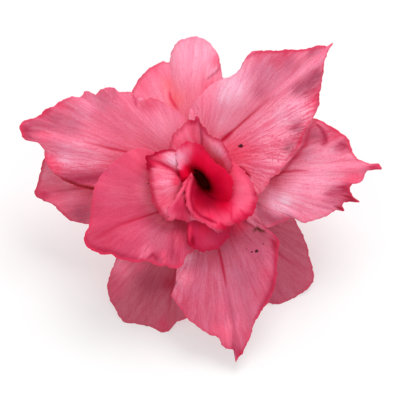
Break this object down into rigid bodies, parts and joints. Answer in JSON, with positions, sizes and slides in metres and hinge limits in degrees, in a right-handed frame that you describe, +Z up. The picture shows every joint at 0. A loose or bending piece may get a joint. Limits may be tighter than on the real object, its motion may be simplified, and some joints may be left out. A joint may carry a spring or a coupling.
{
  "type": "desert rose bloom",
  "caption": "Picked triple-flowered desert rose bloom: nested pink funnel corollas with wavy, pointed petals, a green calyx and a cut stalk, lying face up on a table.",
  "frame": {"origin": "middle of the footprint, on the table that the bloom lies on", "axes": "+Z up from the table; -Y is the way the flower's face leans; +X is to the right as the face is seen"},
  "size_m": [0.0852, 0.0698, 0.0486],
  "materials": {
    "outer_petals": "satin",
    "middle_petals": "satin",
    "inner_petals": "satin",
    "anthers": "matte",
    "pistil": "satin",
    "green_parts": "satin"
  },
  "bodies": {
    "root": {"outer_corolla": "outer_petals", "middle_corolla": "middle_petals", "inner_corolla": "inner_petals", "anther_cone": "anthers", "pistil": "pistil", "calyx_and_stalk": "green_parts"}
  },
  "joints": []
}
